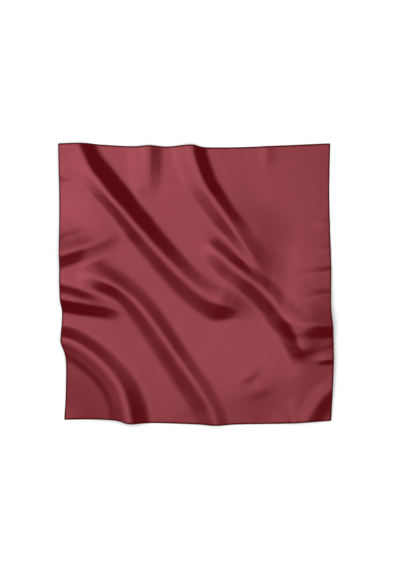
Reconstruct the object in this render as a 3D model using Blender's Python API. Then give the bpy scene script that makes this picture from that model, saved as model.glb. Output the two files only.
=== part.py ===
"""A square satin headscarf, laid flat with soft folds, with a narrow rolled hem on its four sides.

Metres, +Z up, +Y towards the top side, +X towards the right side. The origin is the middle of the
scarf's outline, on the surface that it lies on. The tables are in centimetres, from the middle of
the cloth as it was laid out, and one shift at the end centres the outline on the origin.
"""
from collections import namedtuple

import bmesh
import bpy
import numpy as np

# Driving dimensions, in metres.
CM = 0.01
CLOTH_WALL = 0.0010        # cloth, measured square to its surface
HEM_THICKNESS = 0.0030     # the rolled edge
SEAM_GAP = 0.0003          # between the panel's edge and a roll, and between two rolls

# Fineness of the faceted cloth.
CELLS = 42                 # cells along each side of the panel
STEPS_PER_SECTION = 8      # straight steps between two sections of a fold or a side
ROLL_CORNERS = 6           # corners of a roll's cross-section
SLOPE_STEP = 0.1           # centimetres, to measure a slope over

# Outer edge of the scarf: four corners, and how far each side bulges out from the straight line
# between its corners. "along" is x on the top and bottom sides and y on the left and right ones.
Corner = namedtuple("Corner", "x y")
Bulge = namedtuple("Bulge", "along out")

BOTTOM_LEFT = Corner(-42.6, -44.7)
BOTTOM_RIGHT = Corner(44.0, -45.0)
TOP_LEFT = Corner(-44.4, 44.8)
TOP_RIGHT = Corner(43.7, 45.0)

TOP_BULGES = (
    Bulge(-44.4, 0.0),
    Bulge(-36.2, 0.2),
    Bulge(-30.0, -0.3),
    Bulge(-20.0, -0.85),
    Bulge(-14.8, -0.55),
    Bulge(-9.0, -0.95),
    Bulge(-1.2, -0.4),
    Bulge(3.0, -1.2),
    Bulge(14.0, -1.2),
    Bulge(26.0, -0.75),
    Bulge(43.7, 0.0),
)
BOTTOM_BULGES = (
    Bulge(-42.6, 0.0),
    Bulge(-34.0, -0.2),
    Bulge(-26.0, 0.05),
    Bulge(-21.4, 1.2),
    Bulge(-14.0, 0.95),
    Bulge(0.0, 1.3),
    Bulge(6.6, 1.7),
    Bulge(14.0, 1.3),
    Bulge(30.0, 0.95),
    Bulge(44.0, 0.0),
)
LEFT_BULGES = (
    Bulge(-44.7, 0.0),
    Bulge(-36.0, -0.7),
    Bulge(-25.0, -0.95),
    Bulge(-19.8, 0.45),
    Bulge(-17.0, 0.45),
    Bulge(-10.0, 0.0),
    Bulge(-4.6, 0.55),
    Bulge(8.0, 0.4),
    Bulge(28.0, 0.05),
    Bulge(44.8, 0.0),
)
RIGHT_BULGES = (
    Bulge(-45.0, 0.0),
    Bulge(-34.0, 0.5),
    Bulge(-26.0, 0.8),
    Bulge(-16.0, 0.65),
    Bulge(-8.0, 0.0),
    Bulge(6.0, 0.1),
    Bulge(28.0, -0.35),
    Bulge(45.0, 0.0),
)

# The four sides, with the direction away from the middle of the cloth.
Side = namedtuple("Side", "first last bulges outward")

SIDES = {
    "bottom": Side(BOTTOM_LEFT, BOTTOM_RIGHT, BOTTOM_BULGES, (0.0, -1.0)),
    "top": Side(TOP_LEFT, TOP_RIGHT, TOP_BULGES, (0.0, 1.0)),
    "left": Side(BOTTOM_LEFT, TOP_LEFT, LEFT_BULGES, (-1.0, 0.0)),
    "right": Side(BOTTOM_RIGHT, TOP_RIGHT, RIGHT_BULGES, (1.0, 0.0)),
}

# Folds: soft ridges of raised cloth, each as sections along its crest. "height" is the crest's.
# "lower" is the width of the flank on the right hand of somebody who walks along the crest, which
# faces the bottom or the left side, and "lower_fall" is how far the cloth falls over that width.
# "upper" and "upper_fall" are the same on the left hand. What is left of the height is lost in a
# gentle slope, which reaches further out.
Section = namedtuple("Section", "x y height lower lower_fall upper upper_fall")
GENTLE_REACH = 3.0         # how far out the gentle slope reaches, in widths of its flank
FOOT_LENGTH = 0.5          # how much a flank eases off towards its foot
EVEN_SLOPE = 0.055         # share of a three times shorter wave, which evens out a flank's slope

FOLDS = {
    "long diagonal": (
        Section(-38.8, 46.5, 1.7, 5.8, 0.3, 6.0, 1.7),
        Section(-35.1, 37.8, 2.0, 5.8, 0.4, 6.9, 2.0),
        Section(-31.6, 32.8, 2.2, 5.6, 0.7, 7.5, 2.2),
        Section(-27.9, 28.0, 2.3, 5.4, 1.1, 7.7, 2.3),
        Section(-24.3, 23.9, 2.3, 5.3, 1.1, 7.6, 2.2),
        Section(-20.8, 19.7, 2.1, 5.3, 1.0, 7.3, 2.0),
        Section(-17.3, 15.6, 2.0, 5.5, 1.0, 7.1, 1.8),
        Section(-13.7, 11.5, 1.8, 5.8, 1.0, 7.0, 1.6),
        Section(-9.9, 7.5, 1.7, 6.2, 1.1, 6.7, 1.4),
        Section(-6.1, 3.6, 1.6, 6.7, 1.1, 6.3, 1.1),
        Section(-2.8, 0.5, 1.5, 7.3, 1.2, 6.0, 0.9),
        Section(0.7, -2.3, 1.4, 7.8, 1.2, 5.8, 0.7),
        Section(4.4, -4.7, 1.4, 8.2, 1.3, 5.7, 0.5),
        Section(8.0, -6.3, 1.5, 8.6, 1.5, 5.4, 0.3),
        Section(11.3, -7.4, 1.1, 7.0, 1.0, 5.2, 0.1),
        Section(14.6, -8.4, 0.6, 5.2, 0.4, 5.0, 0.0),
        Section(18.2, -9.4, 0.2, 4.2, 0.1, 4.6, 0.0),
        Section(22.0, -10.3, 0.0, 4.0, 0.0, 4.0, 0.0),
    ),
    "middle diagonal": (
        Section(-1.8, 46.5, 1.7, 8.0, 1.3, 5.6, 1.5),
        Section(-0.5, 39.8, 1.7, 8.0, 1.3, 5.6, 1.5),
        Section(2.4, 32.0, 1.6, 6.8, 0.9, 5.6, 1.4),
        Section(5.1, 27.8, 1.5, 6.2, 1.0, 5.3, 1.2),
        Section(7.9, 23.8, 1.4, 6.2, 1.1, 4.9, 0.9),
        Section(10.7, 19.9, 1.4, 5.8, 1.3, 4.8, 0.7),
        Section(13.5, 15.9, 1.3, 5.0, 1.3, 5.6, 0.4),
        Section(16.0, 12.3, 1.1, 4.5, 1.1, 6.0, 0.2),
        Section(18.2, 9.2, 0.8, 4.2, 0.8, 6.0, 0.1),
        Section(20.2, 6.2, 0.4, 4.0, 0.4, 5.6, 0.0),
        Section(22.2, 3.2, 0.1, 4.0, 0.1, 5.4, 0.0),
        Section(24.2, 0.2, 0.0, 4.0, 0.0, 5.0, 0.0),
    ),
    "lower diagonal": (
        Section(-2.0, 19.5, 0.0, 4.4, 0.0, 4.8, 0.0),
        Section(0.8, 16.4, 0.1, 4.6, 0.0, 4.8, 0.1),
        Section(3.6, 13.3, 0.4, 5.6, 0.3, 4.8, 0.2),
        Section(6.7, 10.0, 1.1, 6.3, 1.0, 4.6, 0.4),
        Section(9.9, 7.1, 1.5, 7.0, 1.5, 4.3, 0.4),
        Section(13.1, 4.5, 1.7, 7.2, 1.7, 4.2, 0.5),
        Section(16.4, 2.1, 1.7, 7.4, 1.7, 4.2, 0.5),
        Section(19.7, -0.4, 1.6, 7.4, 1.6, 4.5, 0.5),
        Section(22.8, -3.3, 1.6, 7.5, 1.6, 4.9, 0.6),
        Section(25.6, -6.6, 1.6, 7.4, 1.6, 5.4, 0.7),
        Section(28.2, -10.2, 1.4, 7.4, 1.4, 5.9, 0.6),
        Section(30.8, -13.8, 1.3, 7.4, 1.3, 6.4, 0.3),
        Section(33.0, -17.5, 1.6, 7.2, 1.6, 7.0, 0.1),
        Section(34.8, -21.2, 1.6, 7.0, 1.6, 7.0, 0.1),
        Section(36.3, -24.8, 0.9, 7.6, 0.9, 7.0, 0.0),
        Section(37.8, -28.6, 0.5, 10.0, 0.5, 7.0, 0.0),
        Section(39.6, -33.0, 0.3, 12.0, 0.3, 7.0, 0.0),
        Section(41.8, -38.0, 0.2, 13.0, 0.2, 7.0, 0.0),
        Section(45.0, -45.0, 0.2, 13.0, 0.2, 7.0, 0.0),
    ),
    "right edge": (
        Section(23.6, -11.8, 0.0, 5.0, 0.0, 12.0, 0.0),
        Section(27.6, -12.1, 0.3, 6.0, 0.3, 12.0, 0.0),
        Section(31.6, -12.5, 1.1, 7.4, 1.1, 12.0, 0.1),
        Section(35.8, -12.8, 1.5, 7.6, 1.5, 12.0, 0.1),
        Section(40.4, -13.2, 1.5, 6.2, 1.5, 12.0, 0.0),
        Section(46.5, -13.9, 1.4, 5.0, 1.4, 12.0, 0.0),
    ),
    "low diagonal": (
        Section(-41.0, 4.0, 0.0, 5.0, 0.0, 5.0, 0.0),
        Section(-37.8, 3.4, 0.1, 5.2, 0.1, 5.4, 0.0),
        Section(-34.5, 2.6, 0.7, 5.4, 0.5, 5.8, 0.0),
        Section(-31.0, 1.4, 1.2, 5.6, 1.1, 6.0, 0.2),
        Section(-27.6, -0.1, 1.4, 5.4, 1.3, 5.8, 0.6),
        Section(-24.2, -2.1, 1.4, 5.3, 1.1, 6.0, 0.9),
        Section(-21.1, -4.8, 1.4, 5.3, 0.9, 6.4, 1.3),
        Section(-18.2, -8.0, 1.4, 5.6, 0.8, 6.4, 1.4),
        Section(-15.2, -11.6, 1.4, 5.9, 0.8, 6.1, 1.3),
        Section(-12.2, -15.6, 1.3, 6.3, 0.8, 5.8, 1.2),
        Section(-9.1, -20.0, 1.3, 6.6, 0.9, 5.4, 1.1),
        Section(-6.0, -24.4, 1.2, 6.8, 0.9, 5.2, 1.0),
        Section(-2.9, -28.8, 1.2, 7.0, 0.9, 5.2, 0.9),
        Section(0.0, -33.0, 1.1, 7.2, 0.8, 5.3, 0.8),
        Section(2.6, -37.2, 1.0, 7.1, 0.6, 5.4, 0.8),
        Section(4.8, -41.4, 0.9, 6.7, 0.5, 5.4, 0.7),
        Section(7.0, -47.5, 0.9, 6.5, 0.5, 5.4, 0.7),
    ),
    "corner arc": (
        Section(-46.5, -18.2, 1.6, 7.0, 0.7, 6.2, 1.4),
        Section(-40.3, -19.6, 1.6, 7.2, 0.7, 6.2, 1.4),
        Section(-34.5, -23.2, 1.6, 7.2, 0.6, 6.5, 1.5),
        Section(-29.2, -28.0, 1.7, 7.0, 0.6, 7.0, 1.6),
        Section(-25.0, -33.8, 1.9, 6.8, 0.6, 7.8, 1.8),
        Section(-22.7, -40.0, 2.1, 6.8, 0.6, 8.6, 2.1),
        Section(-21.4, -47.5, 2.2, 6.8, 0.6, 9.0, 2.2),
    ),
    "top pleat": (
        Section(-15.6, 46.5, 1.2, 7.6, 1.0, 6.4, 1.2),
        Section(-15.6, 38.0, 1.1, 7.6, 0.9, 6.4, 1.1),
        Section(-15.8, 31.6, 0.7, 6.8, 0.6, 6.0, 0.7),
        Section(-16.2, 27.0, 0.2, 5.4, 0.2, 5.0, 0.2),
        Section(-16.6, 22.8, 0.0, 5.0, 0.0, 5.0, 0.0),
        Section(-17.0, 18.6, 0.0, 5.0, 0.0, 5.0, 0.0),
    ),
    "left edge upper": (
        Section(-46.5, 8.6, 2.1, 6.9, 2.1, 8.0, 0.1),
        Section(-37.4, 11.5, 2.1, 6.9, 2.1, 8.0, 0.1),
        Section(-30.0, 14.1, 1.4, 6.6, 1.4, 8.0, 0.1),
        Section(-24.0, 16.0, 0.3, 5.0, 0.3, 6.0, 0.0),
        Section(-18.0, 17.8, 0.0, 5.0, 0.0, 6.0, 0.0),
    ),
    "left edge middle": (
        Section(-46.5, 0.6, 0.8, 4.2, 0.8, 6.4, 0.0),
        Section(-38.0, -1.6, 0.8, 4.2, 0.8, 6.4, 0.0),
        Section(-31.0, -4.4, 0.4, 3.8, 0.4, 6.0, 0.0),
        Section(-26.0, -6.8, 0.1, 3.2, 0.1, 5.0, 0.0),
        Section(-21.6, -9.0, 0.0, 3.0, 0.0, 5.0, 0.0),
    ),
    "left edge lower": (
        Section(-46.5, -4.6, 1.4, 5.6, 1.4, 8.0, 0.0),
        Section(-38.0, -6.1, 1.4, 5.6, 1.4, 8.0, 0.0),
        Section(-31.0, -7.3, 1.1, 5.4, 1.1, 7.0, 0.0),
        Section(-26.6, -8.4, 0.6, 5.0, 0.6, 6.0, 0.0),
        Section(-22.6, -9.6, 0.1, 4.2, 0.1, 5.0, 0.0),
        Section(-18.6, -10.8, 0.0, 4.0, 0.0, 5.0, 0.0),
    ),
    "corner pleat": (
        Section(34.7, -47.5, 0.6, 5.2, 0.4, 5.0, 0.2),
        Section(38.0, -42.0, 0.7, 5.4, 0.4, 5.0, 0.3),
        Section(41.4, -37.2, 0.7, 5.4, 0.4, 5.0, 0.3),
        Section(47.0, -32.6, 0.6, 5.2, 0.4, 5.0, 0.2),
    ),
    "bottom swell": (
        Section(-28.0, -37.0, 0.0, 16.0, 0.0, 8.0, 0.0),
        Section(-18.0, -36.0, 0.0, 18.0, 0.0, 8.0, 0.0),
        Section(-6.0, -35.0, 0.2, 18.0, 0.2, 8.0, 0.0),
        Section(8.0, -34.0, 0.5, 18.0, 0.5, 8.0, 0.0),
        Section(20.0, -31.0, 0.8, 19.0, 0.8, 8.0, 0.0),
        Section(32.0, -27.5, 1.0, 21.0, 1.0, 8.0, 0.0),
        Section(46.5, -24.0, 1.0, 22.0, 1.0, 8.0, 0.0),
    ),
    "top left lift": (
        Section(-45.6, 52.0, 0.8, 6.0, 0.8, 7.6, 0.8),
        Section(-45.6, 44.0, 0.8, 6.0, 0.8, 8.4, 0.8),
        Section(-45.4, 37.0, 0.8, 6.0, 0.8, 10.4, 0.8),
        Section(-45.2, 30.0, 0.6, 6.0, 0.6, 12.0, 0.6),
        Section(-45.0, 23.0, 0.2, 6.0, 0.2, 12.0, 0.2),
        Section(-45.0, 16.0, 0.0, 6.0, 0.0, 12.0, 0.0),
        Section(-45.0, 9.0, 0.0, 6.0, 0.0, 12.0, 0.0),
    ),
}

# Colours, as linear red, green, blue and alpha.
SATIN_RED = (0.30, 0.060, 0.075, 1.0)
HEM_RED = (0.09, 0.012, 0.018, 1.0)
SATIN_ROUGHNESS = 0.38
HEM_ROUGHNESS = 0.50


def clear_scene():
    for old in list(bpy.data.objects):
        bpy.data.objects.remove(old, do_unlink=True)


def smooth_rows(rows, steps=STEPS_PER_SECTION):
    """Rows on a smooth curve through the table's own rows, column by column."""
    rows = np.array(rows)
    ends = (2.0 * rows[0] - rows[1], rows, 2.0 * rows[-1] - rows[-2])
    padded = np.vstack(ends)
    place = np.linspace(0.0, len(rows) - 1.0, steps * (len(rows) - 1) + 1)
    first = np.minimum(place.astype(int), len(rows) - 2)
    part = (place - first)[:, None]
    before, here, after, beyond = (padded[first + k] for k in range(4))
    square = (2.0 * before - 5.0 * here + 4.0 * after - beyond) * part**2
    cube = (3.0 * here - before - 3.0 * after + beyond) * part**3
    return 0.5 * (2.0 * here + (after - before) * part + square + cube)


def fold_height(sections, x, y):
    """Height of one fold, from the nearest place on its crest: a steep and a gentle slope added up.

    Each is its fall times half of one plus a wave, which goes from 1 at the crest to -1 at the foot.
    The gentle wave is the cosine of pi times the distance over GENTLE_REACH widths, and its fall is
    what the flank's own fall leaves of the crest's height. The steep wave is the cosine of pi times
    a share, with EVEN_SLOPE of the cosine of three times that added, over one plus EVEN_SLOPE. Its
    share is t plus FOOT_LENGTH times t squared times 1 - t, where t is the distance over the width.
    """
    crest = smooth_rows(sections)
    widest = GENTLE_REACH * crest[:, (3, 5)].max()
    low, high = crest[:, :2].min(axis=0) - widest, crest[:, :2].max(axis=0) + widest
    inside = (x > low[0]) & (x < high[0]) & (y > low[1]) & (y < high[1])
    near_x, near_y = x[inside], y[inside]
    nearest = np.full(near_x.shape, np.inf)
    found = np.zeros(near_x.shape)
    for start, end in zip(crest[:-1], crest[1:]):
        run = end[:2] - start[:2]
        along = ((near_x - start[0]) * run[0] + (near_y - start[1]) * run[1]) / (run @ run)
        along = np.clip(along, 0.0, 1.0)
        off_x = near_x - start[0] - along * run[0]
        off_y = near_y - start[1] - along * run[1]
        distance = np.hypot(off_x, off_y)
        top, lower, lower_fall, upper, upper_fall = (
            start[k] + (end[k] - start[k]) * along for k in range(2, 7))
        on_left_hand = run[0] * off_y > run[1] * off_x
        width = np.where(on_left_hand, upper, lower)
        fall = np.where(on_left_hand, upper_fall, lower_fall)
        share = np.minimum(distance / width, 1.0)
        share += FOOT_LENGTH * share**2 * (1.0 - share)
        turn = np.pi * share
        wave = (np.cos(turn) + EVEN_SLOPE * np.cos(3.0 * turn)) / (1.0 + EVEN_SLOPE)
        steep = 0.5 * (1.0 + wave)
        gentle = 0.5 * (1.0 + np.cos(np.pi * np.minimum(distance / (GENTLE_REACH * width), 1.0)))
        closer = distance < nearest
        nearest = np.where(closer, distance, nearest)
        found = np.where(closer, fall * steep + (top - fall) * gentle, found)
    height = np.zeros(x.shape)
    height[inside] = found
    return height


def cloth_height(x, y):
    """Height of the cloth's underside, in centimetres, at places given in centimetres."""
    return np.maximum(sum(fold_height(sections, x, y) for sections in FOLDS.values()), 0.0)


def wall_height(x, y):
    """Upright height of the cloth's wall, which is taller where the cloth slopes."""
    slope_x = cloth_height(x + SLOPE_STEP, y) - cloth_height(x - SLOPE_STEP, y)
    slope_y = cloth_height(x, y + SLOPE_STEP) - cloth_height(x, y - SLOPE_STEP)
    slope = np.hypot(slope_x, slope_y) / (2.0 * SLOPE_STEP)
    return CLOTH_WALL / CM * np.sqrt(1.0 + slope**2)


def inset_corner(corner, inset):
    """A corner of the outline, moved towards the middle by the inset along x and along y."""
    place = np.array(corner)
    return place - inset * np.sign(place)


def side_line(side, inset):
    """Places along one side, at equal steps, moved in from the outer edge by the inset."""
    share = np.linspace(0.0, 1.0, CELLS + 1)[:, None]
    start = inset_corner(side.first, inset)
    end = inset_corner(side.last, inset)
    line = start + (end - start) * share
    run_axis = 0 if side.outward[0] == 0.0 else 1
    bulges = smooth_rows(side.bulges)
    out = np.interp(line[:, run_axis], bulges[:, 0], bulges[:, 1])
    out[[0, -1]] = 0.0
    return line + out[:, None] * np.array(side.outward)


def panel_places(inset):
    """Places of the panel's grid: rows run up the cloth and columns run across it."""
    bottom, top, left, right = (side_line(SIDES[name], inset) for name in SIDES)
    share = np.linspace(0.0, 1.0, CELLS + 1)
    across = share[None, :, None]
    up = share[:, None, None]
    between_ends = (1.0 - up) * bottom + up * top
    between_sides = (1.0 - across) * left[:, None] + across * right[:, None]
    low = (1.0 - across) * bottom[0] + across * bottom[-1]
    high = (1.0 - across) * top[0] + across * top[-1]
    return between_ends + between_sides - (1.0 - up) * low - up * high


def panel_surfaces():
    """The panel's underside and its top, as grids of points."""
    inset = (HEM_THICKNESS + SEAM_GAP) / CM
    places = panel_places(inset)
    x, y = places[..., 0], places[..., 1]
    under = cloth_height(x, y)
    over = under + wall_height(x, y)
    return np.dstack((x, y, under)), np.dstack((x, y, over))


def grid_triangles(index):
    """Two triangles a cell, split from top left to bottom right, as the long folds run."""
    low_left, low_right = index[:-1, :-1], index[:-1, 1:]
    high_left, high_right = index[1:, :-1], index[1:, 1:]
    first = np.stack((low_left, low_right, high_left), axis=-1)
    second = np.stack((low_right, high_right, high_left), axis=-1)
    return np.concatenate((first, second)).reshape(-1, 3).tolist()


def band_faces(first_ring, second_ring):
    """Four-sided faces between two closed rings of points."""
    count = len(first_ring)
    faces = []
    for k in range(count):
        after = (k + 1) % count
        faces.append((first_ring[k], first_ring[after], second_ring[after], second_ring[k]))
    return faces


def panel_solid(under, over):
    """One closed wall of cloth between the two surfaces."""
    index = np.arange(under.shape[0] * under.shape[1]).reshape(under.shape[:2])
    raised = index + index.size
    rim = np.concatenate((index[0, :-1], index[:-1, -1], index[-1, :0:-1], index[:0:-1, 0]))
    faces = grid_triangles(raised) + [face[::-1] for face in grid_triangles(index)]
    faces += band_faces(rim.tolist(), (rim + index.size).tolist())
    points = np.concatenate((under.reshape(-1, 3), over.reshape(-1, 3)))
    return points, faces


def hem_solid(edge, outward, past_corners):
    """A roll beside one edge of the panel, made from the edge's own points, moved out."""
    outward = np.array((*outward, 0.0))
    upward = np.array((0.0, 0.0, 1.0))
    radius = HEM_THICKNESS / CM / 2.0
    flat_side = radius * np.cos(np.pi / ROLL_CORNERS)
    gap = SEAM_GAP / CM
    centres = edge + outward * (gap + flat_side) + upward * radius
    if past_corners:
        along = np.array((gap + 2.0 * flat_side, 0.0, 0.0))
        centres = np.vstack((centres[0] - along, centres, centres[-1] + along))
    turns = (np.arange(ROLL_CORNERS) + 0.5) * 2.0 * np.pi / ROLL_CORNERS
    ring = np.outer(np.cos(turns), outward) + np.outer(np.sin(turns), upward)
    points = (centres[:, None] + radius * ring[None]).reshape(-1, 3)
    index = np.arange(len(points)).reshape(-1, ROLL_CORNERS).tolist()
    faces = [index[0][::-1], index[-1]]
    for here, there in zip(index[:-1], index[1:]):
        faces += band_faces(here, there)
    return points, faces


def scarf_solids():
    """Every piece, by name, as its points in centimetres and its faces."""
    under, over = panel_surfaces()
    edges = {"bottom": under[0], "top": under[-1], "left": under[:, 0], "right": under[:, -1]}
    solids = {"scarf_panel": panel_solid(under, over)}
    for name, side in SIDES.items():
        past_corners = name in ("bottom", "top")
        solids["hem_" + name] = hem_solid(edges[name], side.outward, past_corners)
    return solids


def satin_material(name, colour, roughness):
    material = bpy.data.materials.new(name)
    material.use_nodes = True
    shader = material.node_tree.nodes["Principled BSDF"]
    shader.inputs["Base Color"].default_value = colour
    shader.inputs["Roughness"].default_value = roughness
    shader.inputs["Metallic"].default_value = 0.0
    return material


def add_piece(name, points, faces, material):
    """One named object; its faces are turned to point out."""
    mesh = bpy.data.meshes.new(name)
    mesh.from_pydata(points.tolist(), [], faces)
    shape = bmesh.new()
    shape.from_mesh(mesh)
    bmesh.ops.recalc_face_normals(shape, faces=shape.faces)
    shape.to_mesh(mesh)
    shape.free()
    mesh.shade_smooth()
    mesh.materials.append(material)
    piece = bpy.data.objects.new(name, mesh)
    bpy.context.scene.collection.objects.link(piece)
    return piece


def main():
    clear_scene()
    solids = scarf_solids()
    plan = np.concatenate([points[:, :2] for points, _ in solids.values()])
    middle = np.append((plan.min(axis=0) + plan.max(axis=0)) / 2.0, 0.0)
    for name, (points, faces) in solids.items():
        if name == "scarf_panel":
            material = satin_material("satin", SATIN_RED, SATIN_ROUGHNESS)
        else:
            material = satin_material("satin_" + name, HEM_RED, HEM_ROUGHNESS)
        add_piece(name, (points - middle) * CM, faces, material)


main()
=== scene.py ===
"""A square satin headscarf, laid flat with soft folds, and with a narrow rolled hem all round.

Metres, +Z up, +Y towards the top side, +X towards the right side. The tables are in centimetres,
from the middle of the cloth as it was laid out. One shift puts the outline's middle at the origin.
"""
import math
from collections import namedtuple

import bpy
import numpy as np
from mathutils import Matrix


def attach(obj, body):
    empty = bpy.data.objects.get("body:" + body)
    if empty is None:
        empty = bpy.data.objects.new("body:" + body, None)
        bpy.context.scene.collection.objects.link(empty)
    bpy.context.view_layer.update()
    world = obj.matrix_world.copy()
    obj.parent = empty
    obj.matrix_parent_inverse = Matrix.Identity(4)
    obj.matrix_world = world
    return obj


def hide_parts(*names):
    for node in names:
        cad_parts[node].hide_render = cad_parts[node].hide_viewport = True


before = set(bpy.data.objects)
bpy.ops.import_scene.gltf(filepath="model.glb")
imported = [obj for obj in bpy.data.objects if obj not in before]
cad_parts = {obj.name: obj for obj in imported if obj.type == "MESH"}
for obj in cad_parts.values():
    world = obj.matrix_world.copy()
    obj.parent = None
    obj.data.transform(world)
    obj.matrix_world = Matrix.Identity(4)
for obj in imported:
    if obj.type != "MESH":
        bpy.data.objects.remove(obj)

bl_info = {
    "name": "Satin Headscarf",
    "version": (1, 0, 0),
    "blender": (4, 5, 0),
    "location": "3D View > Sidebar > Headscarf",
    "description": "A square satin headscarf, laid flat, with soft folds and a rolled hem",
    "category": "Add Mesh",
}

BODY = "root"
CM = 0.01
UPWARD = (0.0, 0.0, 1.0)

# ---- The outline ----
# Four corners, and how far each side bulges out from the straight line between two of them.
Corner = namedtuple("Corner", "x y")
Bulge = namedtuple("Bulge", "along out")

BOTTOM_LEFT = Corner(-42.6, -44.7)
BOTTOM_RIGHT = Corner(44.0, -45.0)
TOP_LEFT = Corner(-44.4, 44.8)
TOP_RIGHT = Corner(43.7, 45.0)

TOP_BULGES = (
    Bulge(-44.4, 0.0),
    Bulge(-36.2, 0.2),
    Bulge(-30.0, -0.3),
    Bulge(-20.0, -0.85),
    Bulge(-14.8, -0.55),
    Bulge(-9.0, -0.95),
    Bulge(-1.2, -0.4),
    Bulge(3.0, -1.2),
    Bulge(14.0, -1.2),
    Bulge(26.0, -0.75),
    Bulge(43.7, 0.0),
)
BOTTOM_BULGES = (
    Bulge(-42.6, 0.0),
    Bulge(-34.0, -0.2),
    Bulge(-26.0, 0.05),
    Bulge(-21.4, 1.2),
    Bulge(-14.0, 0.95),
    Bulge(0.0, 1.3),
    Bulge(6.6, 1.7),
    Bulge(14.0, 1.3),
    Bulge(30.0, 0.95),
    Bulge(44.0, 0.0),
)
LEFT_BULGES = (
    Bulge(-44.7, 0.0),
    Bulge(-36.0, -0.7),
    Bulge(-25.0, -0.95),
    Bulge(-19.8, 0.45),
    Bulge(-17.0, 0.45),
    Bulge(-10.0, 0.0),
    Bulge(-4.6, 0.55),
    Bulge(8.0, 0.4),
    Bulge(28.0, 0.05),
    Bulge(44.8, 0.0),
)
RIGHT_BULGES = (
    Bulge(-45.0, 0.0),
    Bulge(-34.0, 0.5),
    Bulge(-26.0, 0.8),
    Bulge(-16.0, 0.65),
    Bulge(-8.0, 0.0),
    Bulge(6.0, 0.1),
    Bulge(28.0, -0.35),
    Bulge(45.0, 0.0),
)

Side = namedtuple("Side", "first last bulges outward")

SIDES = {
    "bottom": Side(BOTTOM_LEFT, BOTTOM_RIGHT, BOTTOM_BULGES, (0.0, -1.0)),
    "top": Side(TOP_LEFT, TOP_RIGHT, TOP_BULGES, (0.0, 1.0)),
    "left": Side(BOTTOM_LEFT, TOP_LEFT, LEFT_BULGES, (-1.0, 0.0)),
    "right": Side(BOTTOM_RIGHT, TOP_RIGHT, RIGHT_BULGES, (1.0, 0.0)),
}

# ---- The folds ----
# Soft ridges of raised cloth, each as sections along its crest. "lower" is the width of the flank
# on the right hand of somebody who walks along the crest, and "upper" of the one on the left hand.
# The falls are how far the cloth comes down over those widths. The rest of the crest's height
# comes down gently, over GENTLE_REACH times the width.
Section = namedtuple("Section", "x y height lower lower_fall upper upper_fall")
GENTLE_REACH = 3.0     # how far the gentle slope reaches, in widths of the flank
FOOT_LENGTH = 0.5      # above 0, a flank is steepest in its upper half and its foot is longer
EVEN_SLOPE = 0.055     # share of a three times shorter wave, which evens out a flank's slope

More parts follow.
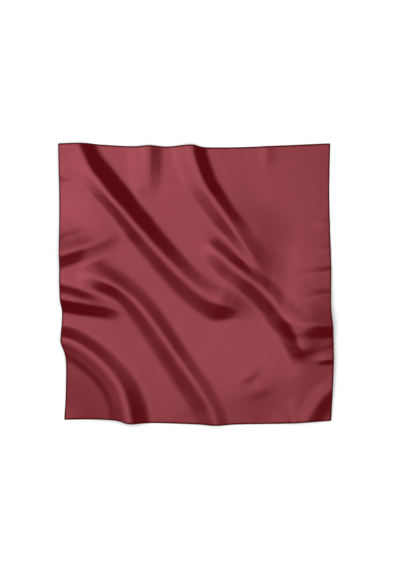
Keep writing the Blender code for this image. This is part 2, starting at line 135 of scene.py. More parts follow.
FOLDS = {
    "long diagonal": (
        Section(-38.8, 46.5, 1.7, 5.8, 0.3, 6.0, 1.7),
        Section(-35.1, 37.8, 2.0, 5.8, 0.4, 6.9, 2.0),
        Section(-31.6, 32.8, 2.2, 5.6, 0.7, 7.5, 2.2),
        Section(-27.9, 28.0, 2.3, 5.4, 1.1, 7.7, 2.3),
        Section(-24.3, 23.9, 2.3, 5.3, 1.1, 7.6, 2.2),
        Section(-20.8, 19.7, 2.1, 5.3, 1.0, 7.3, 2.0),
        Section(-17.3, 15.6, 2.0, 5.5, 1.0, 7.1, 1.8),
        Section(-13.7, 11.5, 1.8, 5.8, 1.0, 7.0, 1.6),
        Section(-9.9, 7.5, 1.7, 6.2, 1.1, 6.7, 1.4),
        Section(-6.1, 3.6, 1.6, 6.7, 1.1, 6.3, 1.1),
        Section(-2.8, 0.5, 1.5, 7.3, 1.2, 6.0, 0.9),
        Section(0.7, -2.3, 1.4, 7.8, 1.2, 5.8, 0.7),
        Section(4.4, -4.7, 1.4, 8.2, 1.3, 5.7, 0.5),
        Section(8.0, -6.3, 1.5, 8.6, 1.5, 5.4, 0.3),
        Section(11.3, -7.4, 1.1, 7.0, 1.0, 5.2, 0.1),
        Section(14.6, -8.4, 0.6, 5.2, 0.4, 5.0, 0.0),
        Section(18.2, -9.4, 0.2, 4.2, 0.1, 4.6, 0.0),
        Section(22.0, -10.3, 0.0, 4.0, 0.0, 4.0, 0.0),
    ),
    "middle diagonal": (
        Section(-1.8, 46.5, 1.7, 8.0, 1.3, 5.6, 1.5),
        Section(-0.5, 39.8, 1.7, 8.0, 1.3, 5.6, 1.5),
        Section(2.4, 32.0, 1.6, 6.8, 0.9, 5.6, 1.4),
        Section(5.1, 27.8, 1.5, 6.2, 1.0, 5.3, 1.2),
        Section(7.9, 23.8, 1.4, 6.2, 1.1, 4.9, 0.9),
        Section(10.7, 19.9, 1.4, 5.8, 1.3, 4.8, 0.7),
        Section(13.5, 15.9, 1.3, 5.0, 1.3, 5.6, 0.4),
        Section(16.0, 12.3, 1.1, 4.5, 1.1, 6.0, 0.2),
        Section(18.2, 9.2, 0.8, 4.2, 0.8, 6.0, 0.1),
        Section(20.2, 6.2, 0.4, 4.0, 0.4, 5.6, 0.0),
        Section(22.2, 3.2, 0.1, 4.0, 0.1, 5.4, 0.0),
        Section(24.2, 0.2, 0.0, 4.0, 0.0, 5.0, 0.0),
    ),
    "lower diagonal": (
        Section(-2.0, 19.5, 0.0, 4.4, 0.0, 4.8, 0.0),
        Section(0.8, 16.4, 0.1, 4.6, 0.0, 4.8, 0.1),
        Section(3.6, 13.3, 0.4, 5.6, 0.3, 4.8, 0.2),
        Section(6.7, 10.0, 1.1, 6.3, 1.0, 4.6, 0.4),
        Section(9.9, 7.1, 1.5, 7.0, 1.5, 4.3, 0.4),
        Section(13.1, 4.5, 1.7, 7.2, 1.7, 4.2, 0.5),
        Section(16.4, 2.1, 1.7, 7.4, 1.7, 4.2, 0.5),
        Section(19.7, -0.4, 1.6, 7.4, 1.6, 4.5, 0.5),
        Section(22.8, -3.3, 1.6, 7.5, 1.6, 4.9, 0.6),
        Section(25.6, -6.6, 1.6, 7.4, 1.6, 5.4, 0.7),
        Section(28.2, -10.2, 1.4, 7.4, 1.4, 5.9, 0.6),
        Section(30.8, -13.8, 1.3, 7.4, 1.3, 6.4, 0.3),
        Section(33.0, -17.5, 1.6, 7.2, 1.6, 7.0, 0.1),
        Section(34.8, -21.2, 1.6, 7.0, 1.6, 7.0, 0.1),
        Section(36.3, -24.8, 0.9, 7.6, 0.9, 7.0, 0.0),
        Section(37.8, -28.6, 0.5, 10.0, 0.5, 7.0, 0.0),
        Section(39.6, -33.0, 0.3, 12.0, 0.3, 7.0, 0.0),
        Section(41.8, -38.0, 0.2, 13.0, 0.2, 7.0, 0.0),
        Section(45.0, -45.0, 0.2, 13.0, 0.2, 7.0, 0.0),
    ),
    "right edge": (
        Section(23.6, -11.8, 0.0, 5.0, 0.0, 12.0, 0.0),
        Section(27.6, -12.1, 0.3, 6.0, 0.3, 12.0, 0.0),
        Section(31.6, -12.5, 1.1, 7.4, 1.1, 12.0, 0.1),
        Section(35.8, -12.8, 1.5, 7.6, 1.5, 12.0, 0.1),
        Section(40.4, -13.2, 1.5, 6.2, 1.5, 12.0, 0.0),
        Section(46.5, -13.9, 1.4, 5.0, 1.4, 12.0, 0.0),
    ),
    "low diagonal": (
        Section(-41.0, 4.0, 0.0, 5.0, 0.0, 5.0, 0.0),
        Section(-37.8, 3.4, 0.1, 5.2, 0.1, 5.4, 0.0),
        Section(-34.5, 2.6, 0.7, 5.4, 0.5, 5.8, 0.0),
        Section(-31.0, 1.4, 1.2, 5.6, 1.1, 6.0, 0.2),
        Section(-27.6, -0.1, 1.4, 5.4, 1.3, 5.8, 0.6),
        Section(-24.2, -2.1, 1.4, 5.3, 1.1, 6.0, 0.9),
        Section(-21.1, -4.8, 1.4, 5.3, 0.9, 6.4, 1.3),
        Section(-18.2, -8.0, 1.4, 5.6, 0.8, 6.4, 1.4),
        Section(-15.2, -11.6, 1.4, 5.9, 0.8, 6.1, 1.3),
        Section(-12.2, -15.6, 1.3, 6.3, 0.8, 5.8, 1.2),
        Section(-9.1, -20.0, 1.3, 6.6, 0.9, 5.4, 1.1),
        Section(-6.0, -24.4, 1.2, 6.8, 0.9, 5.2, 1.0),
        Section(-2.9, -28.8, 1.2, 7.0, 0.9, 5.2, 0.9),
        Section(0.0, -33.0, 1.1, 7.2, 0.8, 5.3, 0.8),
        Section(2.6, -37.2, 1.0, 7.1, 0.6, 5.4, 0.8),
        Section(4.8, -41.4, 0.9, 6.7, 0.5, 5.4, 0.7),
        Section(7.0, -47.5, 0.9, 6.5, 0.5, 5.4, 0.7),
    ),
    "corner arc": (
        Section(-46.5, -18.2, 1.6, 7.0, 0.7, 6.2, 1.4),
        Section(-40.3, -19.6, 1.6, 7.2, 0.7, 6.2, 1.4),
        Section(-34.5, -23.2, 1.6, 7.2, 0.6, 6.5, 1.5),
        Section(-29.2, -28.0, 1.7, 7.0, 0.6, 7.0, 1.6),
        Section(-25.0, -33.8, 1.9, 6.8, 0.6, 7.8, 1.8),
        Section(-22.7, -40.0, 2.1, 6.8, 0.6, 8.6, 2.1),
        Section(-21.4, -47.5, 2.2, 6.8, 0.6, 9.0, 2.2),
    ),
    "top pleat": (
        Section(-15.6, 46.5, 1.2, 7.6, 1.0, 6.4, 1.2),
        Section(-15.6, 38.0, 1.1, 7.6, 0.9, 6.4, 1.1),
        Section(-15.8, 31.6, 0.7, 6.8, 0.6, 6.0, 0.7),
        Section(-16.2, 27.0, 0.2, 5.4, 0.2, 5.0, 0.2),
        Section(-16.6, 22.8, 0.0, 5.0, 0.0, 5.0, 0.0),
        Section(-17.0, 18.6, 0.0, 5.0, 0.0, 5.0, 0.0),
    ),
    "left edge upper": (
        Section(-46.5, 8.6, 2.1, 6.9, 2.1, 8.0, 0.1),
        Section(-37.4, 11.5, 2.1, 6.9, 2.1, 8.0, 0.1),
        Section(-30.0, 14.1, 1.4, 6.6, 1.4, 8.0, 0.1),
        Section(-24.0, 16.0, 0.3, 5.0, 0.3, 6.0, 0.0),
        Section(-18.0, 17.8, 0.0, 5.0, 0.0, 6.0, 0.0),
    ),
    "left edge middle": (
        Section(-46.5, 0.6, 0.8, 4.2, 0.8, 6.4, 0.0),
        Section(-38.0, -1.6, 0.8, 4.2, 0.8, 6.4, 0.0),
        Section(-31.0, -4.4, 0.4, 3.8, 0.4, 6.0, 0.0),
        Section(-26.0, -6.8, 0.1, 3.2, 0.1, 5.0, 0.0),
        Section(-21.6, -9.0, 0.0, 3.0, 0.0, 5.0, 0.0),
    ),
    "left edge lower": (
        Section(-46.5, -4.6, 1.4, 5.6, 1.4, 8.0, 0.0),
        Section(-38.0, -6.1, 1.4, 5.6, 1.4, 8.0, 0.0),
        Section(-31.0, -7.3, 1.1, 5.4, 1.1, 7.0, 0.0),
        Section(-26.6, -8.4, 0.6, 5.0, 0.6, 6.0, 0.0),
        Section(-22.6, -9.6, 0.1, 4.2, 0.1, 5.0, 0.0),
        Section(-18.6, -10.8, 0.0, 4.0, 0.0, 5.0, 0.0),
    ),
    "corner pleat": (
        Section(34.7, -47.5, 0.6, 5.2, 0.4, 5.0, 0.2),
        Section(38.0, -42.0, 0.7, 5.4, 0.4, 5.0, 0.3),
        Section(41.4, -37.2, 0.7, 5.4, 0.4, 5.0, 0.3),
        Section(47.0, -32.6, 0.6, 5.2, 0.4, 5.0, 0.2),
    ),
    "bottom swell": (
        Section(-28.0, -37.0, 0.0, 16.0, 0.0, 8.0, 0.0),
        Section(-18.0, -36.0, 0.0, 18.0, 0.0, 8.0, 0.0),
        Section(-6.0, -35.0, 0.2, 18.0, 0.2, 8.0, 0.0),
        Section(8.0, -34.0, 0.5, 18.0, 0.5, 8.0, 0.0),
        Section(20.0, -31.0, 0.8, 19.0, 0.8, 8.0, 0.0),
        Section(32.0, -27.5, 1.0, 21.0, 1.0, 8.0, 0.0),
        Section(46.5, -24.0, 1.0, 22.0, 1.0, 8.0, 0.0),
    ),
    "top left lift": (
        Section(-45.6, 52.0, 0.8, 6.0, 0.8, 7.6, 0.8),
        Section(-45.6, 44.0, 0.8, 6.0, 0.8, 8.4, 0.8),
        Section(-45.4, 37.0, 0.8, 6.0, 0.8, 10.4, 0.8),
        Section(-45.2, 30.0, 0.6, 6.0, 0.6, 12.0, 0.6),
        Section(-45.0, 23.0, 0.2, 6.0, 0.2, 12.0, 0.2),
        Section(-45.0, 16.0, 0.0, 6.0, 0.0, 12.0, 0.0),
        Section(-45.0, 9.0, 0.0, 6.0, 0.0, 12.0, 0.0),
    ),
}

# Small creases, in the same columns. They are too fine for the solids.
CREASES = {
    "beside corner arc": (
        Section(-46.0, -22.0, 0.03, 2.0, 0.03, 2.0, 0.03),
        Section(-41.8, -23.1, 0.04, 2.0, 0.04, 2.0, 0.04),
        Section(-36.9, -26.2, 0.04, 2.1, 0.04, 2.0, 0.04),
        Section(-32.2, -30.5, 0.05, 2.1, 0.05, 2.1, 0.05),
        Section(-28.5, -35.5, 0.04, 2.1, 0.04, 2.1, 0.04),
        Section(-26.6, -41.0, 0.02, 2.1, 0.02, 2.1, 0.02),
        Section(-26.0, -47.0, 0.0, 2.1, 0.0, 2.1, 0.0),
    ),
    "above left edge upper": (
        Section(-46.5, 12.8, 0.02, 2.0, 0.02, 2.2, 0.02),
        Section(-42.0, 14.2, 0.03, 2.0, 0.03, 2.2, 0.03),
        Section(-36.4, 16.4, 0.05, 1.9, 0.05, 2.1, 0.05),
        Section(-31.0, 18.0, 0.03, 1.8, 0.03, 1.9, 0.03),
        Section(-27.0, 18.8, 0.0, 1.7, 0.0, 1.7, 0.0),
    ),
    "left edge high ripple": (
        Section(-46.5, 34.6, 0.15, 2.6, 0.15, 3.2, 0.15),
        Section(-42.4, 34.2, 0.13, 2.6, 0.13, 3.2, 0.13),
        Section(-38.4, 33.4, 0.0, 2.4, 0.0, 2.8, 0.0),
        Section(-35.0, 32.6, 0.0, 2.4, 0.0, 2.8, 0.0),
    ),
    "top edge tuck": (
        Section(22.2, 34.0, 0.0, 3.6, 0.0, 2.4, 0.0),
        Section(22.4, 37.4, 0.05, 3.8, 0.05, 2.6, 0.05),
        Section(22.7, 41.0, 0.22, 4.2, 0.22, 2.8, 0.22),
        Section(22.9, 47.5, 0.3, 4.6, 0.3, 3.0, 0.3),
    ),
    "right edge ripple 1": (
        Section(36.0, 18.0, 0.0, 2.2, 0.0, 3.0, 0.0),
        Section(38.6, 18.2, 0.04, 2.2, 0.04, 3.0, 0.04),
        Section(41.6, 18.6, 0.2, 2.4, 0.2, 3.2, 0.2),
        Section(47.0, 19.2, 0.26, 2.5, 0.26, 3.2, 0.26),
    ),
    "right edge ripple 2": (
        Section(37.0, 9.6, 0.0, 2.0, 0.0, 2.8, 0.0),
        Section(39.4, 9.9, 0.04, 2.0, 0.04, 2.8, 0.04),
        Section(42.2, 10.3, 0.17, 2.2, 0.17, 3.0, 0.17),
        Section(47.0, 10.9, 0.22, 2.3, 0.22, 3.0, 0.22),
    ),
    "right edge ripple 3": (
        Section(31.4, 1.9, 0.0, 2.4, 0.0, 2.8, 0.0),
        Section(34.4, 2.1, 0.06, 2.5, 0.06, 2.8, 0.06),
        Section(38.8, 2.6, 0.24, 2.7, 0.24, 3.0, 0.24),
        Section(47.0, 3.6, 0.32, 2.8, 0.32, 3.0, 0.32),
    ),
    "right edge ripple 4": (
        Section(33.0, -5.4, 0.0, 2.2, 0.0, 2.6, 0.0),
        Section(35.8, -5.1, 0.05, 2.3, 0.05, 2.6, 0.05),
        Section(40.2, -4.4, 0.19, 2.5, 0.19, 2.8, 0.19),
        Section(47.0, -3.4, 0.26, 2.6, 0.26, 2.8, 0.26),
    ),
    "right edge ripple 5": (
        Section(39.4, -20.6, 0.0, 1.8, 0.0, 2.2, 0.0),
        Section(41.2, -20.4, 0.04, 1.8, 0.04, 2.2, 0.04),
        Section(43.4, -20.0, 0.14, 1.9, 0.14, 2.2, 0.14),
        Section(47.0, -19.5, 0.18, 2.0, 0.18, 2.2, 0.18),
    ),
    "right edge ripple 6": (
        Section(36.6, -25.6, 0.0, 2.0, 0.0, 2.8, 0.0),
        Section(39.0, -25.4, 0.06, 2.0, 0.06, 2.8, 0.06),
        Section(42.0, -25.0, 0.3, 2.3, 0.3, 3.0, 0.3),
        Section(47.0, -24.5, 0.4, 2.5, 0.4, 3.0, 0.4),
    ),
    "dimple": (
        Section(12.6, -33.8, 0.0, 3.2, 0.0, 3.2, 0.0),
        Section(14.4, -32.2, 0.07, 3.3, 0.07, 3.3, 0.07),
        Section(16.6, -30.6, 0.22, 3.4, 0.22, 3.4, 0.22),
        Section(18.6, -28.8, 0.18, 3.4, 0.18, 3.4, 0.18),
        Section(20.4, -27.0, 0.04, 3.2, 0.04, 3.3, 0.04),
        Section(21.8, -25.4, 0.0, 3.0, 0.0, 3.2, 0.0),
    ),
    "beside dimple": (
        Section(15.6, -37.0, 0.0, 3.2, 0.0, 4.0, 0.0),
        Section(18.2, -36.2, 0.05, 3.4, 0.05, 4.2, 0.05),
        Section(21.2, -34.8, 0.09, 3.4, 0.09, 4.2, 0.09),
        Section(23.8, -33.0, 0.02, 3.2, 0.02, 4.0, 0.02),
        Section(26.0, -31.2, 0.0, 3.0, 0.0, 4.0, 0.0),
    ),
    "bottom edge tuck": (
        Section(32.2, -48.5, 0.32, 4.2, 0.32, 2.4, 0.32),
        Section(31.6, -44.4, 0.28, 4.2, 0.28, 2.4, 0.28),
        Section(31.0, -41.0, 0.1, 3.8, 0.1, 2.4, 0.1),
        Section(30.4, -38.0, 0.0, 3.4, 0.0, 2.2, 0.0),
    ),
}

# ---- Fixed counts and shares of the shapes ----
STEPS_PER_SECTION = 20     # straight steps between two sections of a fold or a side
PANEL_CELLS = 218          # cells along each side of the panel
HEM_STEPS = 900            # steps along each roll
HEM_CORNERS = 12           # corners of a roll's cross-section
BLUNT_END = 0.02           # centimetres of its rounding that are cut off a roll's tip
PULL_DEPTH = 0.10          # share of a roll's thickness that each stitch pulls in
PULL_POWER = 6             # the higher, the shorter each pulled place
SWELL_DEPTH = 0.035        # share of a roll's thickness by which it swells and thins slowly
STITCH_STEPS = 7           # steps along each stitch
STITCH_CORNERS = 5         # corners of a stitch's cross-section
STITCH_FROM = 75.0         # degrees round the roll, from straight outwards
STITCH_TO = 200.0          # the same, at the stitch's other end
STITCH_SLANT = 0.08        # centimetres along the roll from a stitch's middle to its ends
STITCH_DEPTH = 0.93        # where the thread's middle lies, as a share of the roll's radius
STITCH_TIP = 0.5           # thickness of a stitch's ends, as a share of the thread's

# The slow waves of a roll's thickness: centimetres along the roll for each radian, how much of
# SWELL_DEPTH it makes up, and how many radians it is shifted from one side to the next.
Swell = namedtuple("Swell", "length share shift")
SWELLS = (Swell(1.9, 1.0, 1.0), Swell(0.83, 0.6, 2.0))

# ---- Fixed numbers of the looks ----
# Noise patterns: their spots a metre along the three axes, and how fine their detail goes.
Noise = namedtuple("Noise", "per_metre detail")
SLUBS = Noise((22.0, 700.0, 1.0), 3.0)
CROSS_LINES = Noise((900.0, 14.0, 1.0), 2.0)
STREAKS = Noise((7.0, 190.0, 1.0), 2.0)
HANDLING = Noise((16.0, 19.0, 1.0), 2.0)
FLOOR_SPOTS = Noise((3.0, 3.0, 3.0), 2.0)

# How far each pattern changes the satin's tone, its roughness, and its height in metres.
SLUB_TONE, STREAK_TONE, WEAVE_TONE = 0.22, 0.36, 0.02
SLUB_GLOSS, STREAK_GLOSS, HANDLING_GLOSS = 0.08, 0.03, 0.05
SLUB_HEIGHT, HANDLING_HEIGHT = 0.00002, 0.0004

CROSS_SHARE = 0.6          # how much of the cross lines is added to the slubs
FLOAT_SHARE = 0.5          # how much of the float pattern is added to the threads
FLOAT_WAVES = 0.4          # waves of the float pattern over one thread, along u and along v
FLOOR_TONE = 0.03          # how far the floor's tone varies in all
GLOSS_TOP = 0.55           # how high the room shows in the satin's gloss, out of 1
LOW_GLOSS = 0.45           # how strongly it shows there, down at the floor, out of 1

FLOOR_REACH = 25.0         # metres from the middle to each side of the floor
FLOOR_LEVEL = -0.0002      # metres: just below the cloth
CAMERA_X, CAMERA_Y = 0.0129, -0.0020    # metres from the scarf's middle

# Softboxes: the middle and the two sides, in metres.
Softbox = namedtuple("Softbox", "place width depth")
KEY_SOFTBOX = Softbox((-0.1, 0.10, 4.0), 2.7, 2.9)
SIDE_SOFTBOX = Softbox((-2.08, 0.92, 4.0), 1.6, 2.2)


# ---- The cloth's form ----
def smooth_rows(rows, steps=STEPS_PER_SECTION):
    """Rows on a smooth curve through the table's own rows: a Catmull-Rom cubic, by columns."""
    rows = np.array(rows)
    padded = np.vstack((2.0 * rows[0] - rows[1], rows, 2.0 * rows[-1] - rows[-2]))
    place = np.linspace(0.0, len(rows) - 1.0, steps * (len(rows) - 1) + 1)
    first = np.minimum(place.astype(int), len(rows) - 2)
    part = (place - first)[:, None]
    before, here, after, beyond = (padded[first + k] for k in range(4))
    square = (2.0 * before - 5.0 * here + 4.0 * after - beyond) * part**2
    cube = (3.0 * here - before - 3.0 * after + beyond) * part**3
    return 0.5 * (2.0 * here + (after - before) * part + square + cube)


def fold_height(sections, x, y):
    """Height of one fold, from the nearest place on its crest: a steep and a gentle slope added.

    Each is its fall times half of one plus a wave, which goes from 1 at the crest down to -1 at the
    foot. The gentle wave is the cosine of pi times the distance over GENTLE_REACH widths, and its
    fall is what the flank's own fall leaves of the crest's height. The steep wave is the cosine of
    pi times a share, with EVEN_SLOPE of the cosine of three times that added, over one plus
    EVEN_SLOPE. Its share is t plus FOOT_LENGTH times t squared times 1 - t, where t is the distance
    over the width.
    """
    crest = smooth_rows(sections)
    columns = Section(*crest.T)
    widest = GENTLE_REACH * max(columns.lower.max(), columns.upper.max())
    low, high = crest[:, :2].min(axis=0) - widest, crest[:, :2].max(axis=0) + widest
    inside = (x > low[0]) & (x < high[0]) & (y > low[1]) & (y < high[1])
    near_x, near_y = x[inside], y[inside]
    nearest = np.full(near_x.shape, np.inf)
    found = np.zeros(near_x.shape)
    for start, end in zip(crest[:-1], crest[1:]):
        run = end[:2] - start[:2]
        along = ((near_x - start[0]) * run[0] + (near_y - start[1]) * run[1]) / (run @ run)
        along = np.clip(along, 0.0, 1.0)
        off_x = near_x - start[0] - along * run[0]
        off_y = near_y - start[1] - along * run[1]
        distance = np.hypot(off_x, off_y)
        top, lower, lower_fall, upper, upper_fall = (
            start[k] + (end[k] - start[k]) * along for k in range(2, 7))
        on_left_hand = run[0] * off_y > run[1] * off_x
        width = np.where(on_left_hand, upper, lower)
        fall = np.where(on_left_hand, upper_fall, lower_fall)
        share = np.minimum(distance / width, 1.0)
        share += FOOT_LENGTH * share**2 * (1.0 - share)
        turn = np.pi * share
        wave = (np.cos(turn) + EVEN_SLOPE * np.cos(3.0 * turn)) / (1.0 + EVEN_SLOPE)
        steep = 0.5 * (1.0 + wave)
        far = np.minimum(distance / (GENTLE_REACH * width), 1.0)
        gentle = 0.5 * (1.0 + np.cos(np.pi * far))
        closer = distance < nearest
        nearest = np.where(closer, distance, nearest)
        found = np.where(closer, fall * steep + (top - fall) * gentle, found)
    height = np.zeros(x.shape)
    height[inside] = found
    return height


def cloth_height(x, y):
    """Height of the cloth's underside in centimetres: all folds and creases added, at least 0."""
    folds = sum(fold_height(sections, x, y) for sections in FOLDS.values())
    creases = sum(fold_height(sections, x, y) for sections in CREASES.values())
    return np.maximum(folds + creases, 0.0)


def inset_corner(corner, inset):
    """A corner of the outline, moved towards the middle by the inset along x and along y."""
    place = np.array(corner)
    return place - inset * np.sign(place)


def side_line(side, inset, cells):
    """Places along one side, at equal steps of the line between its corners, plus the bulge."""
    share = np.linspace(0.0, 1.0, cells + 1)[:, None]
    start = inset_corner(side.first, inset)
    end = inset_corner(side.last, inset)
    line = start + (end - start) * share
    run_axis = 0 if side.outward[0] == 0.0 else 1
    bulges = smooth_rows(side.bulges)
    out = np.interp(line[:, run_axis], bulges[:, 0], bulges[:, 1])
    out[[0, -1]] = 0.0
    return line + out[:, None] * np.array(side.outward)


def panel_places(inset, cells):
    """A Coons patch between the four sides: both ways across, less the corners' own patch."""
    bottom, top, left, right = (side_line(SIDES[name], inset, cells) for name in SIDES)
    share = np.linspace(0.0, 1.0, cells + 1)
    across = share[None, :, None]
    up = share[:, None, None]
    between_ends = (1.0 - up) * bottom + up * top
    between_sides = (1.0 - across) * left[:, None] + across * right[:, None]
    low = (1.0 - across) * bottom[0] + across * bottom[-1]
    high = (1.0 - across) * top[0] + across * top[-1]
    return between_ends + between_sides - (1.0 - up) * low - up * high


def outline_middle():
    """The middle of the outline's box, in centimetres: the finished model's origin."""
    outline = np.concatenate([side_line(side, 0.0, HEM_STEPS) for side in SIDES.values()])
    return np.append((outline.min(axis=0) + outline.max(axis=0)) / 2.0, 0.0)


def finished(points):
    """Points in centimetres, put round the outline's middle and turned into metres."""
    return (points - outline_middle()) * CM


def half_roll(hem):
    """Half of a roll's width and half of its height, in centimetres."""
    return hem.width / 2.0 / CM, hem.height / 2.0 / CM


def hem_path(name, hem):
    """Centres of one roll in centimetres, and its outward direction: the panel's edge, raised."""
    side = SIDES[name]
    half_width, half_height = half_roll(hem)
    line = side_line(side, half_width, HEM_STEPS)
    high = cloth_height(line[:, 0], line[:, 1]) + half_height
    return np.column_stack((line, high)), np.array((*side.outward, 0.0))


def length_along(centres):
    """Length along a line of points, from its start to each point."""
    step = np.linalg.norm(np.diff(centres, axis=0), axis=1)
    return np.concatenate(([0.0], np.cumsum(step)))


def roll_thickness(along, hem, number):
    """How thick a roll is at each length along it, as a share of its full thickness.

    It is one, less PULL_DEPTH times a cosine to the power PULL_POWER, whose angle is pi times the
    length over the stitch spacing, plus SWELL_DEPTH times the slow waves. All that is times the
    square root of a share, at most 1: the distance from the nearer end, plus BLUNT_END, over the
    half width.
    """
    pull = np.cos(math.pi * along / (hem.stitch_spacing / CM)) ** PULL_POWER
    slow = sum(swell.share * np.sin(along / swell.length + swell.shift * number)
               for swell in SWELLS)
    from_end = np.minimum(along, along[-1] - along) + BLUNT_END
    round_end = np.sqrt(np.clip(from_end / half_roll(hem)[0], 0.0, 1.0))
    return (1.0 - PULL_DEPTH * pull + SWELL_DEPTH * slow) * round_end


def stitch_tubes(name, hem):
    """The slip stitches on one roll: slanting arcs of thread, from its top round to its inner side.

    Each point lies round the roll's centre: STITCH_DEPTH of the roll's half width times the cosine
    outward, and of its half height times the sine upward.
    """
    centres, outward = hem_path(name, hem)
    along = length_along(centres)
    spacing = hem.stitch_spacing / CM
    at = np.arange(spacing, along[-1] - spacing / 2.0, spacing)
    place = at[:, None] + np.linspace(-STITCH_SLANT, STITCH_SLANT, STITCH_STEPS + 1)
    middle = np.stack([np.interp(place, along, centres[:, k]) for k in range(3)], axis=-1)
    turn = np.radians(np.linspace(STITCH_FROM, STITCH_TO, STITCH_STEPS + 1))[:, None]
    half_width, half_height = STITCH_DEPTH * np.array(half_roll(hem))
    ring = half_width * np.cos(turn) * outward + half_height * np.sin(turn) * np.array(UPWARD)
    line = middle + ring
    normal = np.broadcast_to(ring / np.linalg.norm(ring, axis=1, keepdims=True), line.shape)
    run = np.gradient(line, axis=1)
    run /= np.linalg.norm(run, axis=2, keepdims=True)
    half = np.full(line.shape[:2], hem.thread / 2.0 / CM)
    half[:, [0, -1]] *= STITCH_TIP
    return tubes(line, np.cross(run, normal), normal, half, half, STITCH_CORNERS)


# ---- Meshes ----
def new_piece(name, points, face_groups, uv_groups, material):
    """One object at the origin, from arrays of points, faces and the faces' own UV places."""
    mesh = bpy.data.meshes.new(name)
    corners = np.concatenate([faces.ravel() for faces in face_groups])
    sizes = np.concatenate([np.full(len(faces), faces.shape[1]) for faces in face_groups])
    starts = np.concatenate(([0], np.cumsum(sizes)[:-1]))
    mesh.vertices.add(len(points))
    mesh.vertices.foreach_set("co", np.ascontiguousarray(points, dtype=np.float32).ravel())
    mesh.loops.add(len(corners))
    mesh.loops.foreach_set("vertex_index", corners.astype(np.int32))
    mesh.polygons.add(len(starts))
    mesh.polygons.foreach_set("loop_start", starts.astype(np.int32))
    mesh.update(calc_edges=True)
    places = np.concatenate([uvs.reshape(-1, 2) for uvs in uv_groups])
    layer = mesh.uv_layers.new(name="UVMap")
    layer.data.foreach_set("uv", np.ascontiguousarray(places, dtype=np.float32).ravel())
    mesh.shade_smooth()
    mesh.materials.append(material)
    if mesh.validate():
        raise RuntimeError(f"{name}: the mesh had faces that Blender had to repair")
    piece = bpy.data.objects.new(name, mesh)
    bpy.context.scene.collection.objects.link(piece)
    return piece


def grid_quads(index):
    """Four-sided faces of a grid of point numbers, facing up."""
    corners = (index[:-1, :-1], index[:-1, 1:], index[1:, 1:], index[1:, :-1])
    return np.stack(corners, axis=-1).reshape(-1, 4)


def tubes(centres, outwards, upwards, half_width, half_height, corners):
    """Closed tubes, with a fan of faces over each end.

    Each ring lies round its centre: half the width times the cosine along "outward" plus half the
    height times the sine along "upward". centres, outwards and upwards are (tube, ring, xyz), and
    the half sizes are (tube, ring). Returns the points, the faces and the faces' UV places, where u
    runs along the tube and v round it, both in the units of the points. The faces point out of the
    tube where outward crossed with upward points back along it.
    """
    count, rings = centres.shape[:2]
    turn = np.arange(corners) * 2.0 * np.pi / corners
    wide = half_width[..., None, None] * np.cos(turn)[:, None] * outwards[:, :, None]
    high = half_height[..., None, None] * np.sin(turn)[:, None] * upwards[:, :, None]
    points = (centres[:, :, None] + wide + high).reshape(-1, 3)
    index = np.arange(count * rings * corners).reshape(count, rings, corners)
    wrapped = np.concatenate((index, index[:, :, :1]), axis=2)
    quads = (wrapped[:, :-1, :-1], wrapped[:, 1:, :-1], wrapped[:, 1:, 1:], wrapped[:, :-1, 1:])
    quads = np.stack(quads, axis=-1).reshape(-1, 4)
    step = np.linalg.norm(np.diff(centres, axis=1), axis=2)
    along = np.concatenate((np.zeros((count, 1)), np.cumsum(step, axis=1)), axis=1)
    around = np.arange(corners + 1) / corners * 2.0 * np.pi * np.median(half_width)
    grid = np.stack(np.broadcast_arrays(along[:, :, None], around), axis=-1)
    uvs = (grid[:, :-1, :-1], grid[:, 1:, :-1], grid[:, 1:, 1:], grid[:, :-1, 1:])
    uvs = np.stack(uvs, axis=-2).reshape(-1, 4, 2)
    tips = len(points) + np.arange(2 * count).reshape(count, 2)
    points = np.concatenate((points, centres[:, [0, -1]].reshape(-1, 3)))
    first = np.stack(np.broadcast_arrays(tips[:, :1], wrapped[:, 0, :-1], wrapped[:, 0, 1:]), -1)
    last = np.stack(np.broadcast_arrays(tips[:, 1:], wrapped[:, -1, 1:], wrapped[:, -1, :-1]), -1)
    fans = np.concatenate((first, last)).reshape(-1, 3)
    return points, [quads, fans], [uvs, np.zeros((len(fans), 3, 2))]


# ---- Materials ----
def new_group(name, inputs, outputs):
    """An empty shader node group with float or vector inputs and float outputs."""
    group = bpy.data.node_groups.new(name, "ShaderNodeTree")
    for label, value in inputs.items():
        kind = "NodeSocketVector" if value is None else "NodeSocketFloat"
        socket = group.interface.new_socket(name=label, in_out="INPUT", socket_type=kind)
        if value is not None:
            socket.default_value = value
    for label in outputs:
        group.interface.new_socket(name=label, in_out="OUTPUT", socket_type="NodeSocketFloat")
    entry = group.nodes.new("NodeGroupInput")
    leave = group.nodes.new("NodeGroupOutput")
    return group, entry, leave


def math_node(tree, operation, *terms):
    """A Math node; each term is a number or a socket."""
    node = tree.nodes.new("ShaderNodeMath")
    node.operation = operation
    for socket, term in zip(node.inputs, terms):
        if isinstance(term, (int, float)):
            socket.default_value = term
        else:
            tree.links.new(term, socket)
    return node.outputs[0]


def weighted_sum(tree, start, *parts):
    """The start plus each part times its share. Each is a number or a socket."""
    total = start
    for part, share in parts:
        total = math_node(tree, "ADD", total, math_node(tree, "MULTIPLY", part, share))
    return total


def noise_node(tree, vector, pattern):
    """A pattern's noise, about 0."""
    scale = tree.nodes.new("ShaderNodeVectorMath")
    scale.operation = "MULTIPLY"
    scale.inputs[1].default_value = pattern.per_metre
    tree.links.new(vector, scale.inputs[0])
    noise = tree.nodes.new("ShaderNodeTexNoise")
    noise.inputs["Scale"].default_value = 1.0
    noise.inputs["Detail"].default_value = pattern.detail
    noise.inputs["Roughness"].default_value = 0.55
    tree.links.new(scale.outputs[0], noise.inputs["Vector"])
    return math_node(tree, "SUBTRACT", noise.outputs[0], 0.5)


